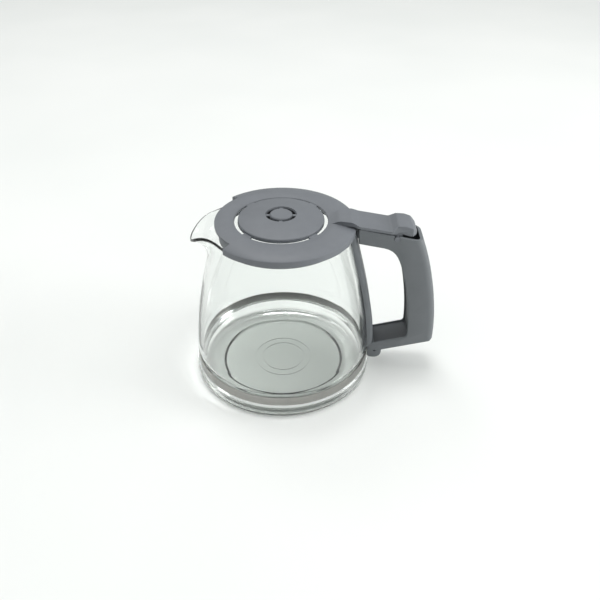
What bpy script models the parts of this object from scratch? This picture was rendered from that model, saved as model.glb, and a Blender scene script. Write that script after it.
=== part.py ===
"""Glass drip-coffee carafe: a jug clamped by a steel band in a loop handle, under a lever lid.

The origin is on the jug's axis at the table, +Z is up, the handle points along +X and the spout
along -X, so XZ is the plane of symmetry. Dimensions are in millimetres and are scaled on building.
"""

import math

import bmesh
import bpy
from mathutils import Vector

MM = 0.001
GAP = 0.3

# Glass jug
WALL = 2.6
RIM_RADIUS = 57.4
RIM_TOP = 139.5
NECK_RADIUS = 56.6
HEEL_RADIUS = 76.4
FOOT_RADIUS = 67.0
HEEL_TOP = 5.5
SEAT_BOTTOM = 12.7
SEAT_TOP = 22.3
SPOUT_START = 110.0
SPOUT_REACH = 17.4
SPOUT_DROOP = 12.5
SPOUT_HALF_WIDTH = 20.0
SPOUT_DIP_HALF_WIDTH = 14.0

# Steel band
BAND_INNER_RADIUS = 74.5
BAND_THICKNESS = 0.6
BAND_BOTTOM = 13.4
BAND_TOP = 21.7
EAR_FACE = 1.7
EAR_START = 77.0
EAR_END = 84.2
EAR_BOTTOM = 14.6
EAR_TOP = 23.4

# Cross screw through the band's ears
SCREW_X = 80.8
SCREW_Z = 20.4
SCREW_RADIUS = 1.5
SCREW_HEAD_RADIUS = 2.8
SCREW_HEAD_HEIGHT = 2.0
SCREW_HEAD_SEAT = 5.9
SCREW_TIP = -8.6
NUT_FLATS = 5.5
NUT_THICKNESS = 2.4
NUT_FACE = -4.5

# Handle
HANDLE_HALF_WIDTH = 13.4
HANDLE_SKIN = 2.3
HANDLE_SIDE_WALL = 1.6
EDGE_RADIUS = 1.0
GRIP_EDGE_RADIUS = 6.0
SPINE_EDGE_RADIUS = 3.0
ARM_FRONT = 60.6
ARM_TOP_FRONT = 142.9
ARM_TOP_BACK = 131.7
FOOT_LEFT = 74.4
FOOT_RIGHT = 86.8
FOOT_BOTTOM = 12.6
LOWER_ARM_TOP = 29.0
LOWER_ARM_SLOPE = 0.225
HOOK_HALF_WIDTH = 8.0
HOOK_TOP = 142.2
LINER_SETBACK = 1.6
LINER_DEPTH = 1.6
LINER_THICKNESS = 2.0
LINER_LEFT = 80.5
FOOT_BLOCK_RIGHT = 87.3

# Hinge of the lid
HINGE_X = 91.4
HINGE_Z = 133.9
PEG_RADIUS = 2.2

# Lid
LID_RADIUS = 60.0
LID_EDGE_TOP = 142.1
LID_SKIRT_BOTTOM = 137.1
LID_CROWN_RADIUS = 43.5
LID_CROWN = 145.1
SLOT_OUTER = 37.4
SLOT_INNER = 34.2
SLOT_HALF_ANGLE = 38.5
DISC_EDGE = 145.4
DISC_CROWN = 148.9
BUTTON_RADIUS = 8.9
BUTTON_SLOT_OUTER = 12.1
BUTTON_TOP = 149.3
LEDGE = 0.2
PLUG_RADIUS = 50.0
PLUG_BOTTOM = 130.5
SPOUT_CUT_RADIUS = 52.8
SPOUT_CUT_HALF_ANGLE = 45.0
PAD_HALF_WIDTH = 11.4
PAD_END = 107.4

PALE_GREY = (0.23, 0.24, 0.25, 1.0)
DARK_GREY = (0.20, 0.21, 0.22, 1.0)
STEEL = (0.45, 0.44, 0.42, 1.0)
GLASS = (0.86, 0.92, 0.90, 1.0)


# Scene and materials


def clear_scene():
    """Remove whatever the scene holds."""
    for item in list(bpy.data.objects):
        bpy.data.objects.remove(item, do_unlink=True)


def new_collection(name):
    """Add a collection to the scene."""
    collection = bpy.data.collections.new(name)
    bpy.context.scene.collection.children.link(collection)
    return collection


def new_material(name, colour, roughness, metallic=0.0, transmission=0.0):
    """Principled material for one piece."""
    material = bpy.data.materials.new(name)
    material.use_nodes = True
    shader = material.node_tree.nodes["Principled BSDF"]
    shader.inputs["Base Color"].default_value = colour
    shader.inputs["Roughness"].default_value = roughness
    shader.inputs["Metallic"].default_value = metallic
    shader.inputs["Transmission Weight"].default_value = transmission
    return material


# Outlines: lists of (u, v) in millimetres


def arc(centre, radius, start, end, steps):
    """Points on an arc, angles in degrees."""
    points = []
    for step in range(steps + 1):
        angle = math.radians(start + (end - start) * step / steps)
        points.append((centre[0] + radius * math.cos(angle), centre[1] + radius * math.sin(angle)))
    return points


def bezier(start, first_handle, second_handle, end, steps):
    """Points on a cubic curve, both ends included."""
    points = []
    for step in range(steps + 1):
        t = step / steps
        weights = ((1 - t) ** 3, 3 * t * (1 - t) ** 2, 3 * t * t * (1 - t), t**3)
        corners = (start, first_handle, second_handle, end)
        u = sum(weight * corner[0] for weight, corner in zip(weights, corners))
        v = sum(weight * corner[1] for weight, corner in zip(weights, corners))
        points.append((u, v))
    return points


def rounded(corners, steps=4):
    """Closed outline through (u, v) or (u, v, fillet radius) corners."""
    outline = []
    previous = corners[-1:] + corners[:-1]
    following = corners[1:] + corners[:1]
    for before, corner, after in zip(previous, corners, following):
        point = Vector(corner[:2])
        if len(corner) < 3:
            outline.append(tuple(point))
            continue
        to_before = (Vector(before[:2]) - point).normalized()
        to_after = (Vector(after[:2]) - point).normalized()
        half = to_before.angle(to_after) / 2
        centre = point + (to_before + to_after).normalized() * corner[2] / math.sin(half)
        start = point + to_before * corner[2] / math.tan(half) - centre
        end = point + to_after * corner[2] / math.tan(half) - centre
        first = math.degrees(math.atan2(start.y, start.x))
        sweep = math.degrees(math.atan2(end.y, end.x)) - first
        sweep = (sweep + 180) % 360 - 180
        outline += arc(centre, corner[2], first, first + sweep, steps)
    return outline


def offset_path(points, distance):
    """Open path moved sideways, to the left of its direction for a positive distance."""
    moved = []
    for index, point in enumerate(points):
        before = Vector(points[max(index - 1, 0)])
        after = Vector(points[min(index + 1, len(points) - 1)])
        along = (after - before).normalized()
        moved.append((point[0] - along.y * distance, point[1] + along.x * distance))
    return moved


def mirrored(points):
    """Closed outline from its +v half, listed from one end of the u axis to the other."""
    return points + [(u, -v) for u, v in reversed(points)]


# Bodies


def new_object(name, mesh, collection):
    """Link a mesh as an object."""
    item = bpy.data.objects.new(name, mesh)
    collection.objects.link(item)
    return item


def finish_mesh(name, work, collection, closed=True):
    """Weld a bmesh, face a closed one outwards and link it."""
    bmesh.ops.remove_doubles(work, verts=work.verts, dist=1e-6)
    if closed:
        bmesh.ops.recalc_face_normals(work, faces=work.faces)
    mesh = bpy.data.meshes.new(name)
    work.to_mesh(mesh)
    work.free()
    return new_object(name, mesh, collection)


def add_prism(work, outline, low, high, axis):
    """Add a straight body on a closed outline: (x, z) swept along Y, or (x, y) swept along Z."""
    rings = []
    for level in (low, high):
        if axis == "Y":
            ring = [work.verts.new((u * MM, level * MM, v * MM)) for u, v in outline]
        else:
            ring = [work.verts.new((u * MM, v * MM, level * MM)) for u, v in outline]
        rings.append(ring)
        work.faces.new(ring)
    count = len(outline)
    for index in range(count):
        after = (index + 1) % count
        work.faces.new((rings[0][index], rings[0][after], rings[1][after], rings[1][index]))


def prism(name, outline, low, high, collection, axis="Y"):
    """Straight body on one closed outline."""
    work = bmesh.new()
    add_prism(work, outline, low, high, axis)
    return finish_mesh(name, work, collection)


def slab(name, outline, half_width, edge_radius, collection):
    """Body on an (x, z) outline, centred on y = 0, with both rims rounded over."""
    curve = bpy.data.curves.new(name, "CURVE")
    curve.dimensions = "2D"
    curve.fill_mode = "BOTH"
    curve.extrude = (half_width - edge_radius) * MM
    curve.bevel_depth = edge_radius * MM
    curve.bevel_resolution = 2
    curve.offset = -edge_radius * MM
    spline = curve.splines.new("POLY")
    spline.points.add(len(outline) - 1)
    for point, (u, v) in zip(spline.points, outline):
        point.co = (u * MM, v * MM, 0.0, 1.0)
    spline.use_cyclic_u = True
    holder = new_object(name + " curve", curve, collection)
    holder.rotation_euler = (math.pi / 2, 0.0, 0.0)
    bpy.context.view_layer.update()
    view = bpy.context.evaluated_depsgraph_get()
    mesh = bpy.data.meshes.new_from_object(holder.evaluated_get(view))
    mesh.transform(holder.matrix_world)
    work = bmesh.new()
    work.from_mesh(mesh)
    bpy.data.meshes.remove(mesh)
    bpy.data.objects.remove(holder)
    bmesh.ops.remove_doubles(work, verts=work.verts, dist=1e-5)
    return finish_mesh(name, work, collection)


def turned(name, profile, steps, collection):
    """Body turned about the Z axis from a closed (radius, z) profile."""
    work = bmesh.new()
    rings = []
    for radius, height in profile:
        if radius == 0:
            rings.append([work.verts.new((0, 0, height * MM))] * steps)
            continue
        circle = arc((0, 0), radius, 0, 360, steps)[:-1]
        rings.append([work.verts.new((x * MM, y * MM, height * MM)) for x, y in circle])
    for ring, following in zip(rings, rings[1:] + rings[:1]):
        for index in range(steps):
            after = (index + 1) % steps
            corners = (ring[index], ring[after], following[after], following[index])
            unique = list(dict.fromkeys(corners))
            if len(unique) > 2:
                work.faces.new(unique)
    return finish_mesh(name, work, collection)


def cylinder(name, centre, radius, low, high, collection, steps=24):
    """Round bar along Y at an (x, z) centre."""
    return prism(name, arc(centre, radius, 0, 360, steps)[:-1], low, high, collection)


def sector(inner, outer, middle, half_angle):
    """Outline of a piece of a ring between two radii, centred on an azimuth in degrees."""
    first = middle - half_angle
    last = middle + half_angle
    steps = max(2, round(half_angle / 3))
    return arc((0, 0), outer, first, last, steps) + arc((0, 0), inner, last, first, steps)


def combine(target, tool, operation):
    """Boolean with a hidden tool body."""
    tool.hide_render = True
    tool.display_type = "WIRE"
    modifier = target.modifiers.new(f"{operation.title()} {tool.name}", "BOOLEAN")
    modifier.operation = operation
    modifier.solver = "EXACT"
    modifier.object = tool


def smooth(item, angle=35):
    """Smooth shading with the sharp edges kept."""
    for polygon in item.data.polygons:
        polygon.use_smooth = True
    item.data.set_sharp_from_angle(angle=math.radians(angle))


# Glass jug


def jug_outside():
    """Outer (radius, z) of the jug from the middle of its base to the rim."""
    heel = bezier((FOOT_RADIUS, 0.0), (72.8, 0.0), (HEEL_RADIUS, 1.4), (HEEL_RADIUS, HEEL_TOP), 8)
    seat = BAND_INNER_RADIUS - GAP
    groove = [(HEEL_RADIUS, 11.3), (HEEL_RADIUS - 0.4, 12.0), (seat, SEAT_BOTTOM), (seat, SEAT_TOP)]
    wall = [
        (74.6, 23.4),
        (74.3, 34.0),
        (73.4, 45.0),
        (71.8, 59.0),
        (69.4, 73.5),
        (66.5, 88.0),
        (63.2, 102.0),
        (61.2, 110.0),
        (59.6, 116.5),
        (58.2, 123.0),
        (57.2, 129.0),
        (NECK_RADIUS, 134.0),
        (RIM_RADIUS, 137.4),
        (RIM_RADIUS, RIM_TOP),
    ]
    return [(0.0, 0.0), (30.0, 0.0)] + heel + groove + wall


def spout_shift(azimuth, height):
    """Outward and downward shift that draws the wall into the spout."""
    rise = (height - SPOUT_START) / (RIM_TOP - SPOUT_START)
    if rise <= 0:
        return 0.0, 0.0
    away = abs(azimuth - 180)
    reach = SPOUT_REACH * math.exp(-((away / SPOUT_HALF_WIDTH) ** 2.7))
    droop = SPOUT_DROOP * math.exp(-((away / SPOUT_DIP_HALF_WIDTH) ** 2.7))
    return reach * rise**2.2, droop * rise**2.2


def jug_azimuths():
    """Azimuths of the jug's columns, closer together at the spout."""
    azimuths = []
    angle = 0.0
    while angle < 359:
        azimuths.append(angle)
        angle += 3.0 if 147 <= angle < 213 else 6.0
    return azimuths


def build_jug(parts, tools):
    """Blown jug: one skin with the spout drawn out, thickened inwards."""
    profile = jug_outside()
    azimuths = jug_azimuths()
    work = bmesh.new()
    rings = []
    for radius, height in profile:
        ring = []
        for azimuth in azimuths:
            out, down = spout_shift(azimuth, height)
            turn = math.radians(azimuth)
            reach = radius + out
            ring.append(
                work.verts.new(
                    (reach * math.cos(turn) * MM, reach * math.sin(turn) * MM, (height - down) * MM)
                )
            )
        rings.append(ring)
    count = len(azimuths)
    for lower, upper in zip(rings, rings[1:]):
        for index in range(count):
            after = (index + 1) % count
            work.faces.new((lower[index], lower[after], upper[after], upper[index]))
    jug = finish_mesh("glass_jug", work, parts, closed=False)
    thicken = jug.modifiers.new("Wall", "SOLIDIFY")
    thicken.thickness = WALL * MM
    thicken.offset = -1.0
    thicken.use_even_offset = True
    smooth(jug)
    jug.data.materials.append(new_material("clear glass", GLASS, 0.02, transmission=1.0))


def jug_envelope(tools):
    """Room taken by the jug's wall and its band, with the clearance added."""
    heel = HEEL_RADIUS + GAP
    band = BAND_INNER_RADIUS + BAND_THICKNESS + GAP
    above = [point for point in jug_outside() if point[1] > SEAT_TOP]
    profile = [(0.0, -5.0), (heel, -5.0), (heel, SEAT_BOTTOM)]
    profile += [(band, SEAT_BOTTOM + GAP), (band, BAND_TOP + GAP)]
    profile += [(radius + GAP, height) for radius, height in above]
    profile += [(RIM_RADIUS + GAP, RIM_TOP + GAP), (53.6, RIM_TOP + GAP), (53.6, 126.0), (0.0, 126.0)]
    return turned("jug envelope", profile, 90, tools)


# Steel band and its screw


def build_band(parts, tools):
    """Band round the heel, its two ends turned outwards as ears for the screw."""
    inner = BAND_INNER_RADIUS
    outer = inner + BAND_THICKNESS
    ear_out = EAR_FACE + BAND_THICKNESS
    start = math.degrees(math.asin(ear_out / outer))
    inner_start = math.degrees(math.asin(EAR_FACE / inner))
    outline = [(EAR_END, EAR_FACE), (EAR_END, ear_out)]
    outline += arc((0, 0), outer, start, 360 - start, 108)
    outline += [(EAR_END, -ear_out), (EAR_END, -EAR_FACE)]
    outline += arc((0, 0), inner, 360 - inner_start, inner_start, 108)
    band = prism("steel_band", outline, BAND_BOTTOM, EAR_TOP, parts, axis="Z")
    strip = [(70.0, BAND_TOP), (EAR_START, BAND_TOP), (EAR_START, 30.0), (70.0, 30.0)]
    combine(band, turned("above the strip", strip, 90, tools), "DIFFERENCE")
    below = [(EAR_START, 5.0), (95.0, 5.0), (95.0, EAR_BOTTOM), (EAR_START, EAR_BOTTOM)]
    combine(band, turned("below the ears", below, 90, tools), "DIFFERENCE")
    hole = cylinder("ear holes", (SCREW_X, SCREW_Z), SCREW_RADIUS + GAP, -6, 6, tools)
    combine(band, hole, "DIFFERENCE")
    smooth(band)
    band.data.materials.append(new_material("brushed steel", STEEL, 0.35, metallic=1.0))


def build_screw(parts, tools):
    """Pan-head cross screw through the foot and both ears."""
    seat = SCREW_HEAD_SEAT
    axis = (SCREW_X, SCREW_Z)
    screw = cylinder("band_screw", axis, SCREW_RADIUS, SCREW_TIP, seat + 0.5, parts)
    head = cylinder("screw head", axis, SCREW_HEAD_RADIUS, seat, seat + SCREW_HEAD_HEIGHT, tools)
    combine(screw, head, "UNION")
    for index, (wide, tall) in enumerate(((3.4, 0.8), (0.8, 3.4))):
        u, v = wide / 2, tall / 2
        outline = [(SCREW_X - u, SCREW_Z - v), (SCREW_X + u, SCREW_Z - v)]
        outline += [(SCREW_X + u, SCREW_Z + v), (SCREW_X - u, SCREW_Z + v)]
        recess = prism(f"cross recess {index}", outline, seat + 0.8, seat + 4, tools)
        combine(screw, recess, "DIFFERENCE")
    smooth(screw)
    screw.data.materials.append(new_material("screw steel", STEEL, 0.3, metallic=1.0))


def build_nut(parts, tools):
    """Hexagon nut in the foot's pocket."""
    corner = NUT_FLATS / math.sqrt(3)
    outline = arc((SCREW_X, SCREW_Z), corner, 30, 390, 6)[:-1]
    nut = prism("band_nut", outline, NUT_FACE - NUT_THICKNESS, NUT_FACE, parts)
    bore = cylinder("nut bore", (SCREW_X, SCREW_Z), SCREW_RADIUS + GAP, -10, 0, tools)
    combine(nut, bore, "DIFFERENCE")
    nut.data.materials.append(new_material("nut steel", STEEL, 0.35, metallic=1.0))


# Handle


def grip_back():
    """Outer curve of the grip, from the top of the arm down."""
    return bezier((112.8, ARM_TOP_BACK), (123.0, 107.5), (131.5, 65.7), (131.4, 36.0), 16)


def grip_front():
    """Inner curve of the grip, from the fillet under the arm down."""
    return bezier((93.4, 116.4), (101.3, 101.8), (108.0, 61.9), (107.8, 39.5), 14)


def spine_front():
    """Outward curve of the spine, from the arm down to the lower arm."""
    return bezier((61.0, 128.8), (67.0, 100.6), (79.4, 61.4), (78.7, LOWER_ARM_TOP), 14)


def lower_arm_top(x):
    """Height of the lower arm's upper edges."""
    return LOWER_ARM_TOP + (x - 79.0) * LOWER_ARM_SLOPE


def lower_arm_bottom(x):
    """Height of the lower arm's underside."""
    return 21.0 + (x - FOOT_RIGHT) * 0.237


def arm_underside(x):
    """Height of the top arm's underside."""
    return 129.3 - (x - 61.6) * 0.203


def loop_outline():
    """Top arm, grip, lower arm and foot as one closed (x, z) outline, open towards the jug."""
    arm = [(ARM_FRONT, ARM_TOP_FRONT, 1.5)]
    bottom = [
        (131.4, lower_arm_bottom(131.4), 5.0),
        (FOOT_RIGHT, 21.0, 0.8),
        (FOOT_RIGHT, FOOT_BOTTOM, 5.5),
        (FOOT_LEFT, FOOT_BOTTOM, 4.0),
        (FOOT_LEFT, 27.5),
        (107.8, lower_arm_top(107.8), 3.0),
    ]
    fillet = [(89.5, arm_underside(89.5), 16.4), (61.6, arm_underside(61.6))]
    return rounded(arm + grip_back() + bottom + grip_front()[::-1] + fillet)


def grip_envelope_outline():
    """Outline whose rounded rim shapes the back of the grip and clears everything else."""
    return [(20.0, 170.0), (96.6, 170.0)] + grip_back() + [(131.4, -20.0), (20.0, -20.0)]


def grip_room_outline():
    """Outline whose rounded rim keeps the hollows one skin inside the back of the grip."""
    back = [point for point in offset_path(grip_back(), -HANDLE_SKIN) if point[1] < 131.0]
    return [(20.0, 170.0), (96.0, 170.0)] + back + [(back[-1][0], 10.0), (20.0, 10.0)]


def spine_outline():
    """Spine along the glass; its inner side is trimmed by the jug's envelope."""
    front = [(59.9, 136.8)] + spine_front() + [(78.0, 22.5)]
    back = [(66.0, 22.5), (66.0, 60.0), (50.0, 120.0), (50.0, 136.8)]
    return front + back


def hook_outline():
    """Hook from the top of the spine over the rim and down inside the jug."""
    return rounded(
        [
            (64.6, 132.0),
            (64.6, HOOK_TOP, 1.2),
            (51.1, HOOK_TOP, 1.2),
            (51.1, 132.4, 0.8),
            (52.9, 132.4, 0.8),
            (52.9, 139.0),
            (57.0, 139.0),
            (57.0, 132.0),
        ]
    )


def channel_outline():
    """Channel of the top arm and the well that the thumb pad sinks into."""
    skin = HANDLE_SKIN
    front = [(58.0, 170.0), (58.0, 140.2), (64.6, 140.2), (64.6, arm_underside(64.6) + skin)]
    bend = [(90.6, arm_underside(90.6) + skin, 14.0)]
    inner = [point for point in offset_path(grip_front(), skin) if point[1] > 112.0]
    bottom = [(inner[-1][0] + 0.6, 112.0), (125.0, 112.0), (125.0, 170.0)]
    return rounded(front + bend + inner + bottom)


def hollow_outline():
    """Hollow of the grip and lower arm, open towards the fingers."""
    skin = HANDLE_SKIN
    inner = [point for point in offset_path(grip_front(), -4.0) if point[1] < 108.0]
    left = LINER_LEFT - GAP
    under_liner = LINER_DEPTH + LINER_THICKNESS + GAP
    floor = [
        (135.0, 108.0),
        (135.0, lower_arm_bottom(135.0) + skin),
        (FOOT_BLOCK_RIGHT, lower_arm_bottom(FOOT_BLOCK_RIGHT) + skin),
        (FOOT_BLOCK_RIGHT, lower_arm_top(FOOT_BLOCK_RIGHT) - under_liner),
        (left, lower_arm_top(left) - under_liner),
        (left, lower_arm_top(left) + 4.0),
        (102.0, lower_arm_top(102.0) + 4.0),
    ]
    return rounded(floor + inner[::-1])


def liner_outline():
    """Liner seen from the side: a floor along the lower arm, turned up inside the grip."""
    face = [point for point in offset_path(grip_front(), LINER_SETBACK) if point[1] < 106.0]
    behind = offset_path(grip_front(), LINER_SETBACK + LINER_THICKNESS)
    back = [point for point in behind if point[1] < 106.0]
    left = LINER_LEFT
    corner = face[-1][0]
    outer_corner = back[-1][0]
    floor = [(left, lower_arm_top(left) - LINER_DEPTH)]
    floor += [(corner, lower_arm_top(corner) - LINER_DEPTH, 1.0)]
    depth = LINER_DEPTH + LINER_THICKNESS
    under = [(outer_corner, lower_arm_top(outer_corner) - depth, 3.0), (left, lower_arm_top(left) - depth)]
    return rounded(floor + face[::-1] + back + under)


def notch_outline():
    """Open-topped snap seat for one peg of the lid."""
    seat = arc((HINGE_X, HINGE_Z), PEG_RADIUS + GAP, 140, 400, 16)
    mouth = [(HINGE_X + 2.0, 135.6), (HINGE_X + 3.4, 139.0), (HINGE_X - 3.4, 139.0), (HINGE_X - 2.0, 135.6)]
    return seat + mouth


def cut_foot(shell, tools):
    """Slot for the ears, bore and counterbore for the screw, pocket for the nut."""
    axis = (SCREW_X, SCREW_Z)
    ear_room = EAR_FACE + BAND_THICKNESS + GAP
    top = EAR_TOP + GAP
    slot = [(70.0, 5.0), (EAR_END + GAP, 5.0), (EAR_END + GAP, top), (70.0, top)]
    combine(shell, prism("ear slot", slot, -ear_room, ear_room, tools), "DIFFERENCE")
    bore = cylinder("screw bore", axis, SCREW_RADIUS + GAP, SCREW_TIP - GAP, 20, tools)
    combine(shell, bore, "DIFFERENCE")
    head_room = SCREW_HEAD_RADIUS + 2 * GAP
    counterbore = cylinder("counterbore", axis, head_room, SCREW_HEAD_SEAT - GAP, 20, tools)
    combine(shell, counterbore, "DIFFERENCE")
    combine(shell, cylinder("tip hole", axis, 0.9, -20, 0, tools, 16), "DIFFERENCE")
    half = NUT_FLATS / 2 + GAP
    top = SCREW_Z + NUT_FLATS / math.sqrt(3) + GAP
    pocket = [(SCREW_X - half, 5.0), (SCREW_X + half, 5.0), (SCREW_X + half, top), (SCREW_X - half, top)]
    low = NUT_FACE - NUT_THICKNESS - GAP
    combine(shell, prism("nut pocket", pocket, low, NUT_FACE + GAP, tools), "DIFFERENCE")


def hollow_tool(name, outline, tools):
    """Cutter for a hollow of the handle, trimmed to the room inside its walls."""
    tool = prism(name, outline, -20, 20, tools)
    inside = HANDLE_HALF_WIDTH - HANDLE_SIDE_WALL
    room = slab(name + " room", grip_room_outline(), inside, GRIP_EDGE_RADIUS - HANDLE_SKIN, tools)
    combine(tool, room, "INTERSECT")
    return tool


def build_shell(parts, tools):
    """Handle shell: loop, spine and hook, hollowed for the lid lever and the liner."""
    shell = slab("handle_shell", loop_outline(), HANDLE_HALF_WIDTH, EDGE_RADIUS, parts)
    envelope = slab("grip envelope", grip_envelope_outline(), HANDLE_HALF_WIDTH, GRIP_EDGE_RADIUS, tools)
    combine(shell, envelope, "INTERSECT")
    spine = slab("spine", spine_outline(), HANDLE_HALF_WIDTH - 0.05, SPINE_EDGE_RADIUS, tools)
    combine(shell, spine, "UNION")
    combine(shell, hollow_tool("channel", channel_outline(), tools), "DIFFERENCE")
    combine(shell, hollow_tool("hollow", hollow_outline(), tools), "DIFFERENCE")
    hook = prism("hook", hook_outline(), -HOOK_HALF_WIDTH, HOOK_HALF_WIDTH, tools)
    combine(shell, hook, "UNION")
    combine(shell, jug_envelope(tools), "DIFFERENCE")
    combine(shell, prism("peg notches", notch_outline(), -20, 20, tools), "DIFFERENCE")
    cut_foot(shell, tools)
    smooth(shell)
    shell.data.materials.append(new_material("handle plastic", PALE_GREY, 0.45))


def build_liner(parts, tools):
    """Inner cover of the lower arm and grip, set back between the shell's edges."""
    inside = HANDLE_HALF_WIDTH - HANDLE_SIDE_WALL - GAP
    liner = prism("handle_liner", liner_outline(), -inside, inside, parts)
    for index, height in enumerate((52.0, 74.0, 96.0)):
        front = next(point for point in grip_front()[::-1] if point[1] > height)
        wall = next(point for point in grip_back()[::-1] if point[1] > height)
        left = front[0] + LINER_SETBACK + 1.0
        right = wall[0] - HANDLE_SKIN - 1.2
        outline = [(left, height), (right, height), (right, height + 1.6), (left, height + 1.6)]
        combine(liner, prism(f"liner rib {index}", outline, -7, 7, tools), "UNION")
    smooth(liner)
    liner.data.materials.append(new_material("liner plastic", DARK_GREY, 0.5))


# Lid


def lid_profile():
    """Disc, flange, skirt, plug ring and button socket as one turned profile."""
    return [
        (0.0, BUTTON_TOP),
        (BUTTON_RADIUS - 0.8, BUTTON_TOP),
        (BUTTON_RADIUS, BUTTON_TOP - 0.7),
        (BUTTON_RADIUS, 147.9),
        (BUTTON_SLOT_OUTER, 147.9),
        (BUTTON_SLOT_OUTER + 0.3, DISC_CROWN),
        (20.0, 148.1),
        (28.0, 146.9),
        (SLOT_INNER - 0.5, DISC_EDGE),
        (SLOT_INNER, DISC_EDGE - 0.6),
        (SLOT_INNER, 143.7),
        (SLOT_OUTER, 143.7),
        (SLOT_OUTER + 0.2, 144.0),
        (LID_CROWN_RADIUS - 2.0, LID_CROWN - 0.3),
        (LID_CROWN_RADIUS, LID_CROWN),
        (52.0, 143.8),
        (LID_RADIUS - 0.8, LID_EDGE_TOP + 0.2),
        (LID_RADIUS, LID_EDGE_TOP - 0.5),
        (LID_RADIUS, LID_SKIRT_BOTTOM),
        (LID_RADIUS - 1.8, LID_SKIRT_BOTTOM),
        (LID_RADIUS - 1.8, 140.5),
        (PLUG_RADIUS, 142.0),
        (PLUG_RADIUS, PLUG_BOTTOM),
        (PLUG_RADIUS - 1.8, PLUG_BOTTOM),
        (PLUG_RADIUS - 1.8, 142.6),
        (LID_CROWN_RADIUS, 143.0),
        (SLOT_OUTER, 142.0),
        (SLOT_INNER, 142.4),
        (28.0, 144.9),
        (14.0, 146.9),
        (5.2, 146.9),
        (5.2, 142.5),
        (3.4, 142.5),
        (3.4, 147.3),
        (0.0, 147.3),
    ]


def neck_outline():
    """Neck seen from the side, from the disc to the ramp that climbs to the thumb pad."""
    top = [
        (37.8, 143.5),
        (45.6, 147.6, 8.0),
        (55.8, 147.8, 6.0),
        (61.4, 145.1, 8.0),
        (86.9, 140.5, 4.0),
        (91.9, 144.4, 0.8),
        (93.6, 143.2),
    ]
    under = [(93.6, 137.6), (85.0, 138.6), (66.5, 141.9), (62.0, 142.9), (58.0, 144.0), (50.0, 144.0)]
    return rounded(top + under + [(48.0, 142.8), (38.0, 142.6)])


def neck_plan():
    """Neck seen from above, widening from the disc to the arm and narrowing up the ramp."""
    width = HANDLE_HALF_WIDTH
    over_disc = [(37.5, 7.2), (46.0, 9.4), (56.0, 12.0), (60.5, width)]
    return mirrored(over_disc + [(87.9, width), (91.6, 11.2), (94.0, 10.0)])


def pad_outline():
    """Thumb pad seen from the side."""
    return rounded(
        [
            (89.2, 138.2),
            (89.2, 141.9),
            (92.2, 144.35, 1.0),
            (98.0, 144.1),
            (103.4, 142.3, 4.0),
            (PAD_END, 138.6, 3.0),
            (PAD_END, 135.4, 0.8),
            (101.7, 135.0),
            (93.1, 138.0),
        ]
    )


def pad_plan():
    """Thumb pad seen from above, its free corners cut back."""
    width = PAD_HALF_WIDTH + 1
    half = [(80.0, width), (103.0, width, 3.0), (PAD_END + 0.1, 6.5, 5.0)]
    other = [(80.0, -width), (103.0, -width, 3.0), (PAD_END + 0.1, -6.5, 5.0)]
    return rounded(half + other[::-1])


def pad_hollow_outline():
    """Hollow under the thumb pad."""
    return [(92.9, 125.0), (92.9, 142.0), (98.0, 142.1), (102.6, 140.6), (105.4, 138.0), (105.4, 125.0)]


def peg_ear_outline():
    """Ear that carries one peg down into the channel."""
    lower = arc((HINGE_X, HINGE_Z), 4.0, 180, 360, 8)
    return lower + [(HINGE_X + 4.0, 139.2), (HINGE_X - 4.0, 139.2)]


def hook_room_outline():
    """Room under the neck for the hook that crosses the rim."""
    roof = [(50.3, 145.8), (54.0, 145.4), (58.0, 144.5), (62.0, 143.2), (66.4, 142.3)]
    return [(50.3, 120.0)] + roof + [(66.4, 120.0)]


def cut_openings(lid, tools):
    """Ring slots, button slots, the cut-back edge over the spout and the room for the hook."""
    outlines = [sector(SPOUT_CUT_RADIUS, 70, 180, SPOUT_CUT_HALF_ANGLE)]
    for index in range(4):
        outlines.append(sector(SLOT_INNER + LEDGE, SLOT_OUTER - LEDGE, 90 * index, SLOT_HALF_ANGLE))
        outlines.append(sector(BUTTON_RADIUS + LEDGE, BUTTON_SLOT_OUTER - LEDGE, 90 * index + 45, 37))
    work = bmesh.new()
    for outline in outlines:
        add_prism(work, outline, 130, 155, "Z")
    add_prism(work, hook_room_outline(), -9.2, 9.2, "Y")
    combine(lid, finish_mesh("lid openings", work, tools), "DIFFERENCE")


def build_lid(parts, tools):
    """Lid: turned disc with the neck, thumb pad, ears and pegs of its lever."""
    lid = turned("lid_cover", lid_profile(), 72, parts)
    neck = prism("neck", neck_outline(), -HANDLE_HALF_WIDTH, HANDLE_HALF_WIDTH, tools)
    combine(neck, prism("neck plan", neck_plan(), 130, 155, tools, axis="Z"), "INTERSECT")
    combine(lid, neck, "UNION")
    pad = slab("pad", pad_outline(), PAD_HALF_WIDTH, 0.8, tools)
    combine(pad, prism("pad plan", pad_plan(), 130, 155, tools, axis="Z"), "INTERSECT")
    hollow_half = PAD_HALF_WIDTH - 2.2
    combine(pad, prism("pad hollow", pad_hollow_outline(), -hollow_half, hollow_half, tools), "DIFFERENCE")
    combine(lid, pad, "UNION")
    for side in (-1, 1):
        faces = sorted((side * (hollow_half - 0.3), side * (PAD_HALF_WIDTH - 0.3)))
        combine(lid, prism(f"peg ear {side}", peg_ear_outline(), *faces, tools), "UNION")
        ends = sorted((side * (PAD_HALF_WIDTH - 1), side * (HANDLE_HALF_WIDTH + 0.4)))
        combine(lid, cylinder(f"peg {side}", (HINGE_X, HINGE_Z), PEG_RADIUS, *ends, tools), "UNION")
    cut_openings(lid, tools)
    set_origin(lid, (HINGE_X, 0.0, HINGE_Z))
    smooth(lid)
    lid.data.materials.append(new_material("lid plastic", PALE_GREY, 0.42))


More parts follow.
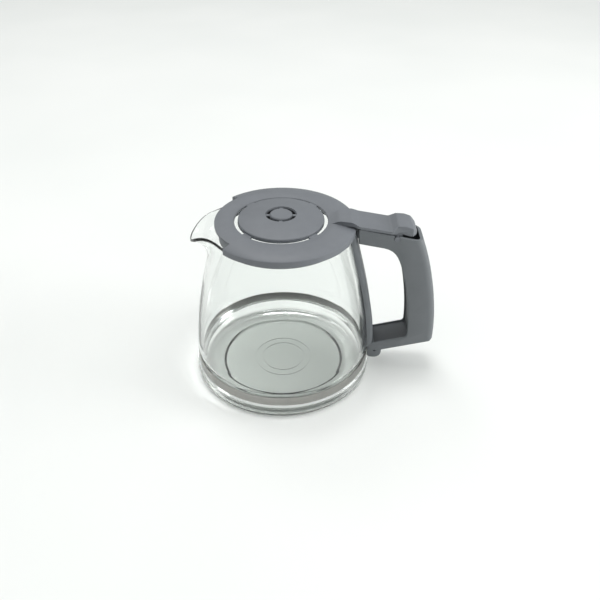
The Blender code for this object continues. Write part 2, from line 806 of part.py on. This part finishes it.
def set_origin(item, point):
    """Move an object's origin without moving its surface."""
    place = Vector(point) * MM
    for vertex in item.data.vertices:
        vertex.co -= place
    item.location = place


def build_baffle(parts, tools):
    """Dish on a stem under the lid's button."""
    profile = [
        (0.0, 146.8),
        (3.1, 146.8),
        (3.1, 141.2),
        (13.8, 141.2),
        (15.2, 145.2),
        (16.4, 145.2),
        (15.2, 140.4),
        (14.2, 139.6),
        (0.0, 139.6),
    ]
    baffle = turned("drip_baffle", profile, 48, parts)
    set_origin(baffle, (HINGE_X, 0.0, HINGE_Z))
    smooth(baffle)
    baffle.data.materials.append(new_material("baffle plastic", DARK_GREY, 0.5))


def main():
    """Build every piece of the carafe."""
    clear_scene()
    parts = new_collection("Coffee carafe")
    tools = new_collection("Cutters")
    for build in (
        build_jug,
        build_band,
        build_screw,
        build_nut,
        build_shell,
        build_liner,
        build_lid,
        build_baffle,
    ):
        build(parts, tools)


main()
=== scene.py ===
"""Looks of the coffee carafe: clear glass, satin grey plastic and brushed steel on a pale floor.

The jug's axis is Z, the handle points along +X and the spout along -X. Lengths are in metres,
except for names that end in _MM.
"""

import math

import bmesh
import bpy
import numpy as np
from mathutils import Matrix, Vector


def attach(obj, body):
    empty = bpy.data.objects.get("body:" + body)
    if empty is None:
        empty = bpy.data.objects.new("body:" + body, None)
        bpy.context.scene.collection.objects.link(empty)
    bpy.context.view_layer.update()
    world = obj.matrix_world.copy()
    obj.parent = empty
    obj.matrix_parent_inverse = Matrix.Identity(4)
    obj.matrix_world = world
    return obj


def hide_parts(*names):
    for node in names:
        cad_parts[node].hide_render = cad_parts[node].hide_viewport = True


MM = 0.001

# Glass jug
WALL_MM = 2.6
RIM_WALL_MM = 1.7
RIM_RADIUS_MM = 57.4
NECK_RADIUS_MM = 56.6
HEEL_RADIUS_MM = 76.4
FOOT_RADIUS_MM = 67.0
HEEL_TOP_MM = 5.5
BASE_RING_RADIUS_MM = 52.0
INNER_HEEL_TOP_MM = 22.3
BAND_SEAT_MM = 74.2
RIM_TOP_MM = 139.5
SPOUT_START_MM = 110.0
SPOUT_REACH_MM = 17.4
SPOUT_DROOP_MM = 12.5
SPOUT_HALF_DEGREES = 20.0
SPOUT_DIP_HALF_DEGREES = 14.0
SPOUT_SIDE_POWER = 2.7
SPOUT_RISE_POWER = 2.2
WALL_TAPER_MM = 70.0
BASE_GROOVE_MM = 0.45
PONTIL_RADII_MM = (18.5, 25.0)
PONTIL_HEIGHT_MM = 0.22
RIDGE_WIDTH_MM = 0.6
# Darker glass in the lowest few millimetres: partly the tint of a thick pressed base, partly painted shade
# of the base under the lid.
BASE_TINT_AND_SHADE = (0.905, 0.914, 0.902)
BASE_TINT_AND_SHADE_HEIGHTS = (0.002, 0.006)

# Mesh of the glass jug
AZIMUTHS = 240
BEAD_STEPS = 6
HEEL_STEPS = 26
INNER_HEEL_STEPS = 34
WALL_STEPS = 66
COARSE_STEP_MM = 1.5
FINE_STEP_MM = 0.2
FINE_SPAN_MM = 2.4

SHARP_ANGLE = math.radians(35.0)

# Camera, in the frame of the part
CAMERA_PLACE = (0.016274, -0.466025, 0.402691)
CAMERA_YAW = -0.0024
CAMERA_PITCH = 0.6266
CAMERA_ROLL = 0.0032
SENSOR_MM = 36.0
LENS_MM = 40.14

# Stage
FLOOR_RADIUS = 5.0
FLOOR_GAP = 0.0002
JUG_MIDDLE = Vector((0.0, 0.0, 0.07))


# Shader trees


def new_material(name):
    """Material with an empty Principled shader; returns its tree and shader."""
    material = bpy.data.materials.new(name)
    material.use_nodes = True
    tree = material.node_tree
    return material, tree, tree.nodes["Principled BSDF"]


def add_node(tree, kind, **inputs):
    """Node with some of its inputs set; an input may be a value or another node's output."""
    node = tree.nodes.new(kind)
    for name, value in inputs.items():
        socket = node.inputs[name.replace("_", " ")]
        if isinstance(value, bpy.types.NodeSocket):
            tree.links.new(value, socket)
        else:
            socket.default_value = value
    return node


def object_place(tree, stretch=(1.0, 1.0, 1.0)):
    """Object coordinates in metres, stretched along the axes."""
    coordinate = add_node(tree, "ShaderNodeTexCoord")
    mapping = add_node(tree, "ShaderNodeMapping", Vector=coordinate.outputs["Object"])
    mapping.inputs["Scale"].default_value = stretch
    return mapping.outputs["Vector"]


def noise(tree, place, scale, detail=2.0, roughness=0.5):
    """Noise value at so many cells a metre."""
    node = add_node(tree, "ShaderNodeTexNoise", Vector=place, Scale=scale, Detail=detail)
    node.inputs["Roughness"].default_value = roughness
    return node.outputs["Fac"]


def ramp(tree, value, low, high, position=(0.3, 0.7)):
    """Colour ramp between two colours."""
    node = add_node(tree, "ShaderNodeValToRGB", Fac=value)
    first, last = node.color_ramp.elements
    first.position, last.position = position
    first.color = (*low, 1.0)
    last.color = (*high, 1.0)
    return node.outputs["Color"]


def spread(tree, value, low, high):
    """Value from 0 to 1 spread between two numbers."""
    node = add_node(tree, "ShaderNodeMapRange", Value=value)
    node.inputs["To Min"].default_value = low
    node.inputs["To Max"].default_value = high
    return node.outputs["Result"]


def bump(tree, height, depth, strength, normal=None):
    """Bump of a depth in metres."""
    node = add_node(tree, "ShaderNodeBump", Height=height, Strength=strength, Distance=depth)
    if normal is not None:
        tree.links.new(normal, node.inputs["Normal"])
    return node.outputs["Normal"]


# Materials


def glass_material():
    """Clear glass with the faint ripple of a blown wall, a little greener and darker in its base: partly
    the tint of thick glass, partly painted shade.
    """
    material, tree, shader = new_material("clear_glass")
    shader.inputs["Transmission Weight"].default_value = 1.0
    shader.inputs["IOR"].default_value = 1.47
    shader.inputs["Roughness"].default_value = 0.0
    place = object_place(tree, (1.0, 1.0, 0.45))
    streaks = noise(tree, place, 14.0)
    tint = ramp(tree, streaks, (0.958, 0.973, 0.964), (0.970, 0.983, 0.976))
    height = add_node(tree, "ShaderNodeSeparateXYZ", Vector=object_place(tree)).outputs["Z"]
    # Below these heights the glass is darker: partly thick-glass tint, partly painted shade of the base
    # under the lid.
    depth = ramp(tree, height, BASE_TINT_AND_SHADE, (1.0, 1.0, 1.0), BASE_TINT_AND_SHADE_HEIGHTS)
    product = tree.nodes.new("ShaderNodeVectorMath")
    product.operation = "MULTIPLY"
    tree.links.new(tint, product.inputs[0])
    tree.links.new(depth, product.inputs[1])
    tree.links.new(product.outputs["Vector"], shader.inputs["Base Color"])
    ripple = bump(tree, noise(tree, place, 42.0, 1.0), 0.0008, 0.025)
    tree.links.new(ripple, shader.inputs["Normal"])
    return material


def plastic_material(name, dark, pale, roughness):
    """Moulded satin plastic: spark-eroded grain, slight mottling and a few worn patches."""
    material, tree, shader = new_material(name)
    place = object_place(tree)
    mottle = noise(tree, place, 55.0, 4.0, 0.6)
    tree.links.new(ramp(tree, mottle, dark, pale), shader.inputs["Base Color"])
    wear = spread(tree, noise(tree, place, 23.0, 3.0), roughness - 0.10, roughness + 0.12)
    tree.links.new(wear, shader.inputs["Roughness"])
    coarse = bump(tree, noise(tree, place, 900.0, 2.0), 0.00012, 0.5)
    fine = bump(tree, noise(tree, place, 2600.0, 3.0, 0.7), 0.00006, 0.5, coarse)
    tree.links.new(fine, shader.inputs["Normal"])
    shader.inputs["IOR"].default_value = 1.49
    return material


def band_material():
    """Rolled steel strip, brushed along its length."""
    material, tree, shader = new_material("brushed_band")
    shader.inputs["Metallic"].default_value = 1.0
    shader.inputs["Anisotropic"].default_value = 0.55
    lines = noise(tree, object_place(tree, (0.02, 0.02, 1.0)), 4200.0, 3.0, 0.7)
    patches = noise(tree, object_place(tree), 60.0, 3.0)
    colour = ramp(tree, lines, (0.28, 0.28, 0.27), (0.41, 0.405, 0.385))
    tree.links.new(colour, shader.inputs["Base Color"])
    tree.links.new(spread(tree, patches, 0.24, 0.42), shader.inputs["Roughness"])
    tree.links.new(bump(tree, lines, 0.00003, 0.5), shader.inputs["Normal"])
    tangent = tree.nodes.new("ShaderNodeTangent")
    tangent.direction_type = "RADIAL"
    tangent.axis = "Z"
    tree.links.new(tangent.outputs["Tangent"], shader.inputs["Tangent"])
    return material


def fastener_material():
    """Zinc-plated screw steel."""
    material, tree, shader = new_material("zinc_steel")
    shader.inputs["Metallic"].default_value = 1.0
    place = object_place(tree)
    colour = ramp(tree, noise(tree, place, 700.0, 3.0), (0.40, 0.41, 0.42), (0.58, 0.58, 0.57))
    tree.links.new(colour, shader.inputs["Base Color"])
    tree.links.new(spread(tree, noise(tree, place, 400.0), 0.28, 0.5), shader.inputs["Roughness"])
    tree.links.new(bump(tree, noise(tree, place, 2500.0), 0.00004, 0.4), shader.inputs["Normal"])
    return material


def floor_material():
    """Pale matt table top with a trace of unevenness."""
    material, tree, shader = new_material("pale_floor")
    place = object_place(tree)
    tone = ramp(tree, noise(tree, place, 3.0), (0.80, 0.815, 0.80), (0.84, 0.85, 0.835))
    tree.links.new(tone, shader.inputs["Base Color"])
    shader.inputs["Roughness"].default_value = 0.6
    shader.inputs["Specular IOR Level"].default_value = 0.25
    return material


# Glass jug


def bezier(start, first_handle, second_handle, end, steps):
    """Points on a cubic curve, both ends included."""
    t = np.linspace(0.0, 1.0, steps + 1)[:, None]
    corners = [np.array(corner, float) for corner in (start, first_handle, second_handle, end)]
    weights = ((1 - t) ** 3, 3 * t * (1 - t) ** 2, 3 * t * t * (1 - t), t**3)
    return sum(weight * corner for weight, corner in zip(weights, corners))


def smooth_wall(points, steps):
    """Curve through the wall's points, parametrised by height."""
    points = np.array(points)
    heights = np.linspace(points[0, 1], points[-1, 1], steps + 1)
    slopes = np.gradient(points[:, 0], points[:, 1])
    radii = []
    for height in heights:
        index = min(np.searchsorted(points[:, 1], height, side="right") - 1, len(points) - 2)
        low, high = points[index], points[index + 1]
        span = high[1] - low[1]
        t = (height - low[1]) / span
        radius = (2 * t**3 - 3 * t**2 + 1) * low[0] + (t**3 - 2 * t**2 + t) * span * slopes[index]
        radius += (3 * t**2 - 2 * t**3) * high[0] + (t**3 - t**2) * span * slopes[index + 1]
        radii.append(radius)
    return np.column_stack([radii, heights])


def floor_radii(end, features):
    """Radii from 0 to an end, closer together round the features."""
    coarse = np.arange(0.0, end - 1.0, COARSE_STEP_MM)
    fine = [np.arange(middle - FINE_SPAN_MM, middle + FINE_SPAN_MM, FINE_STEP_MM) for middle in features]
    radii = np.unique(np.round(np.concatenate([coarse, *fine]), 2))
    gaps = np.diff(radii, append=end)
    return radii[gaps > FINE_STEP_MM / 2]


def ridge(radii, middle, height):
    """Smooth narrow ridge round a radius."""
    return height * np.exp(-(((radii - middle) / RIDGE_WIDTH_MM) ** 2))


def jug_outside():
    """Outer (radius, z) of the jug in millimetres: base with two faint rings, heel, band seat, wall."""
    radii = floor_radii(FOOT_RADIUS_MM, PONTIL_RADII_MM)
    rings = sum(ridge(radii, middle, PONTIL_HEIGHT_MM) for middle in PONTIL_RADII_MM)
    floor = np.column_stack([radii, rings])
    heel_top = (HEEL_RADIUS_MM, HEEL_TOP_MM)
    heel = bezier((FOOT_RADIUS_MM, 0.0), (72.8, 0.0), (HEEL_RADIUS_MM, 1.4), heel_top, HEEL_STEPS)
    seat = [
        (HEEL_RADIUS_MM, 8.6),
        (HEEL_RADIUS_MM, 11.3),
        (HEEL_RADIUS_MM - 0.4, 12.0),
        (BAND_SEAT_MM + 0.3, 12.7),
        (BAND_SEAT_MM, 13.3),
        (BAND_SEAT_MM, 17.5),
        (BAND_SEAT_MM, 22.1),
    ]
    wall = smooth_wall(
        [
            (BAND_SEAT_MM, 22.3),
            (74.6, 23.8),
            (74.3, 34.0),
            (73.4, 45.0),
            (71.8, 59.0),
            (69.4, 73.5),
            (66.5, 88.0),
            (63.2, 102.0),
            (61.2, 110.0),
            (59.6, 116.5),
            (58.2, 123.0),
            (57.2, 129.0),
            (NECK_RADIUS_MM, 134.0),
            (RIM_RADIUS_MM, 137.4),
            (RIM_RADIUS_MM, RIM_TOP_MM - WALL_MM / 2),
        ],
        WALL_STEPS,
    )
    return np.vstack([floor, heel, seat, wall])


def draw_spout(azimuths, heights):
    """Outward and downward shift that draws the wall into the spout, in millimetres."""
    rise = np.clip((heights - SPOUT_START_MM) / (RIM_TOP_MM - SPOUT_START_MM), 0.0, 1.0)[:, None]
    away = np.abs(azimuths - 180.0)[None, :]
    reach = SPOUT_REACH_MM * np.exp(-((away / SPOUT_HALF_DEGREES) ** SPOUT_SIDE_POWER))
    droop = SPOUT_DROOP_MM * np.exp(-((away / SPOUT_DIP_HALF_DEGREES) ** SPOUT_SIDE_POWER))
    return reach * rise**SPOUT_RISE_POWER, droop * rise**SPOUT_RISE_POWER


def skin_normals(skin):
    """Outward normals of a grid of points, ring by ring; the first ring is the middle of the base."""
    along = np.roll(skin, -1, axis=1) - np.roll(skin, 1, axis=1)
    up = np.gradient(skin, axis=0)
    normals = np.cross(along, up)
    lengths = np.linalg.norm(normals, axis=2, keepdims=True)
    normals = normals / np.maximum(lengths, 1e-9)
    normals[0] = (0.0, 0.0, -1.0)
    return normals


def jug_inside_base():
    """Inner (radius, z) of the base: flat floor, ring groove at its edge, then the curved heel."""
    radii = floor_radii(BASE_RING_RADIUS_MM, [BASE_RING_RADIUS_MM])
    floor = np.column_stack([radii, WALL_MM - ridge(radii, BASE_RING_RADIUS_MM, BASE_GROOVE_MM)])
    top = BAND_SEAT_MM - WALL_MM
    start = (BASE_RING_RADIUS_MM, WALL_MM - BASE_GROOVE_MM)
    heel = bezier(start, (64.0, 3.4), (top, 6.5), (top, INNER_HEEL_TOP_MM - 0.6), INNER_HEEL_STEPS)
    return np.vstack([floor, heel])


def turn_rings(profile, turn):
    """Rings of points for a turned (radius, z) profile."""
    radii, heights = profile[:, :1], profile[:, 1:]
    return np.stack([radii * np.cos(turn), radii * np.sin(turn), heights + 0 * turn], axis=2)


def jug_rings():
    """Rings of points in millimetres: outer skin, rim bead, inner skin down to the base."""
    profile = jug_outside()
    azimuths = np.arange(AZIMUTHS) * 360.0 / AZIMUTHS
    turn = np.radians(azimuths)[None, :]
    out, down = draw_spout(azimuths, profile[:, 1])
    reach = profile[:, :1] + out
    height = profile[:, 1:] - down
    outer = np.stack([reach * np.cos(turn), reach * np.sin(turn), height], axis=2)
    taper = np.clip((profile[:, 1] - INNER_HEEL_TOP_MM) / WALL_TAPER_MM, 0.0, 1.0)
    walls = WALL_MM + (RIM_WALL_MM - WALL_MM) * taper
    skin = outer - skin_normals(outer) * walls[:, None, None]
    above_heel = profile[:, 1] > INNER_HEEL_TOP_MM
    inner = np.concatenate([turn_rings(jug_inside_base(), turn), skin[above_heel]])
    middle = (outer[-1] + inner[-1]) / 2
    half = (outer[-1] - inner[-1]) / 2
    bead = []
    for step in range(1, BEAD_STEPS):
        angle = math.pi * step / BEAD_STEPS
        lift = np.array([0.0, 0.0, RIM_WALL_MM / 2 * math.sin(angle)])
        bead.append(middle + half * math.cos(angle) + lift)
    return list(outer) + bead + list(inner[::-1])


def make_jug():
    """Visible glass in place of the plain solid: finer, with a rounded rim and a pressed base."""
    rings = jug_rings()
    work = bmesh.new()
    rows = []
    for index, ring in enumerate(rings):
        if index in (0, len(rings) - 1):
            rows.append([work.verts.new(Vector(ring[0]) * MM)] * AZIMUTHS)
        else:
            rows.append([work.verts.new(Vector(point) * MM) for point in ring])
    for lower, upper in zip(rows, rows[1:]):
        for index in range(AZIMUTHS):
            after = (index + 1) % AZIMUTHS
            corners = dict.fromkeys((lower[index], lower[after], upper[after], upper[index]))
            work.faces.new(list(corners))
    bmesh.ops.recalc_face_normals(work, faces=work.faces)
    mesh = bpy.data.meshes.new("jug_glass")
    work.to_mesh(mesh)
    work.free()
    mesh.polygons.foreach_set("use_smooth", [True] * len(mesh.polygons))
    mesh.materials.append(glass_material())
    jug = bpy.data.objects.new("jug_glass", mesh)
    bpy.context.scene.collection.objects.link(jug)
    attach(jug, "jug")
    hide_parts("glass_jug")


# CAD nodes


def soft_shading(angle):
    """Node group that welds a mesh and shades it smooth, except across edges sharper than an angle."""
    group = bpy.data.node_groups.new("soft_shading", "GeometryNodeTree")
    group.interface.new_socket("Geometry", in_out="INPUT", socket_type="NodeSocketGeometry")
    group.interface.new_socket("Geometry", in_out="OUTPUT", socket_type="NodeSocketGeometry")
    source = group.nodes.new("NodeGroupInput")
    result = group.nodes.new("NodeGroupOutput")
    plain = group.nodes.new("GeometryNodeRemoveAttribute")
    plain.inputs["Name"].default_value = "custom_normal"
    weld = group.nodes.new("GeometryNodeMergeByDistance")
    weld.inputs["Distance"].default_value = 2e-6
    faces = group.nodes.new("GeometryNodeSetShadeSmooth")
    faces.domain = "FACE"
    edges = group.nodes.new("GeometryNodeSetShadeSmooth")
    edges.domain = "EDGE"
    edges.inputs["Shade Smooth"].default_value = False
    bend = group.nodes.new("GeometryNodeInputMeshEdgeAngle")
    sharper = group.nodes.new("FunctionNodeCompare")
    sharper.operation = "GREATER_THAN"
    sharper.inputs["B"].default_value = angle
    group.links.new(source.outputs["Geometry"], plain.inputs["Geometry"])
    group.links.new(plain.outputs["Geometry"], weld.inputs["Geometry"])
    group.links.new(weld.outputs["Geometry"], faces.inputs["Geometry"])
    group.links.new(faces.outputs["Geometry"], edges.inputs["Geometry"])
    group.links.new(bend.outputs["Unsigned Angle"], sharper.inputs["A"])
    group.links.new(sharper.outputs["Result"], edges.inputs["Selection"])
    group.links.new(edges.outputs["Geometry"], result.inputs["Geometry"])
    return group


def dress(nodes):
    """Give each CAD node that stays its material and smooth shading."""
    lid_plastic = plastic_material("lid_plastic", (0.140, 0.150, 0.166), (0.156, 0.167, 0.184), 0.46)
    handle_plastic = plastic_material("handle_plastic", (0.128, 0.140, 0.150), (0.144, 0.156, 0.167), 0.46)
    # Near-black plastic for the handle liner and the drip baffle is painted shade: it darkens the shallow
    # recess in the lower arm and the lid's slots as if they lay in shadow.
    shade_painted_plastic = plastic_material("shade_painted_plastic", (0.055, 0.060, 0.065), (0.070, 0.076, 0.082), 0.62)
    zinc = fastener_material()
    looks = {
        "lid_cover": lid_plastic,
        "drip_baffle": shade_painted_plastic,
        "handle_shell": handle_plastic,
        "handle_liner": shade_painted_plastic,
        "steel_band": band_material(),
        "band_screw": zinc,
        "band_nut": zinc,
    }
    shading = soft_shading(SHARP_ANGLE)
    for name, material in looks.items():
        node = nodes[name]
        node.data.materials.clear()
        node.data.materials.append(material)
        node.modifiers.new("Soft shading", "NODES").node_group = shading


# Stage


def make_floor():
    """Wide pale floor, just below the base."""
    bpy.ops.mesh.primitive_circle_add(vertices=96, radius=FLOOR_RADIUS, fill_type="NGON")
    floor = bpy.context.object
    floor.location.z = -FLOOR_GAP
    floor.name = "floor"
    floor.data.materials.append(floor_material())


def make_world():
    """Pale sky that darkens towards the horizon, so that upright faces stay darker than the top."""
    world = bpy.data.worlds.new("studio")
    bpy.context.scene.world = world
    world.use_nodes = True
    tree = world.node_tree
    background = tree.nodes["Background"]
    coordinate = add_node(tree, "ShaderNodeTexCoord")
    split = add_node(tree, "ShaderNodeSeparateXYZ", Vector=coordinate.outputs["Generated"])
    tone = ramp(tree, split.outputs["Z"], (0.26, 0.265, 0.26), (0.95, 0.97, 0.96), (0.03, 0.42))
    tree.links.new(tone, background.inputs["Color"])
    background.inputs["Strength"].default_value = 0.76


def add_light(name, place, size, energy):
    """White square soft box that faces the middle of the jug."""
    data = bpy.data.lights.new(name, "AREA")
    data.shape = "SQUARE"
    data.size = size
    data.energy = energy
    light = bpy.data.objects.new(name, data)
    light.location = place
    light.rotation_euler = (JUG_MIDDLE - Vector(place)).to_track_quat("-Z", "Y").to_euler()
    bpy.context.scene.collection.objects.link(light)


def make_lights():
    """Wide light overhead, a smaller one behind to the left and a low panel at the handle's side."""
    add_light("top", (-0.10, 0.30, 2.20), 0.8, 17.0)
    add_light("back", (-0.60, 1.30, 1.90), 0.7, 4.0)
    add_light("side", (1.90, -0.20, 0.55), 1.0, 24.0)


def make_camera():
    """Camera above and in front, looking down at the carafe."""
    forward = Vector(
        (
            math.sin(CAMERA_YAW) * math.cos(CAMERA_PITCH),
            math.cos(CAMERA_YAW) * math.cos(CAMERA_PITCH),
            -math.sin(CAMERA_PITCH),
        )
    )
    right = forward.cross(Vector((0.0, 0.0, 1.0))).normalized()
    up = right.cross(forward)
    level = right * math.cos(CAMERA_ROLL) + up * math.sin(CAMERA_ROLL)
    plumb = up * math.cos(CAMERA_ROLL) - right * math.sin(CAMERA_ROLL)
    data = bpy.data.cameras.new("camera")
    data.sensor_width = SENSOR_MM
    data.lens = LENS_MM
    camera = bpy.data.objects.new("camera", data)
    turn = Matrix((level, plumb, -forward)).transposed()
    camera.matrix_world = Matrix.Translation(CAMERA_PLACE) @ turn.to_4x4()
    bpy.context.scene.collection.objects.link(camera)
    bpy.context.scene.camera = camera


def set_light_handling():
    """Plain colours, and sharp light paths through the glass to the floor."""
    scene = bpy.context.scene
    scene.view_settings.view_transform = "Standard"
    scene.cycles.blur_glossy = 0.0


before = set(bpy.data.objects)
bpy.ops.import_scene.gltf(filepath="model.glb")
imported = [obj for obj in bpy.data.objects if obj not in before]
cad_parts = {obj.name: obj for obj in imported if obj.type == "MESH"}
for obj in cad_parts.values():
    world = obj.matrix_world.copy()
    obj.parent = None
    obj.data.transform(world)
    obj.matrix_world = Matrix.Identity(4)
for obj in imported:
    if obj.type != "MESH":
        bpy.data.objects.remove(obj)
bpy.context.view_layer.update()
set_light_handling()
make_camera()
make_world()
make_lights()
make_floor()
make_jug()
dress(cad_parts)
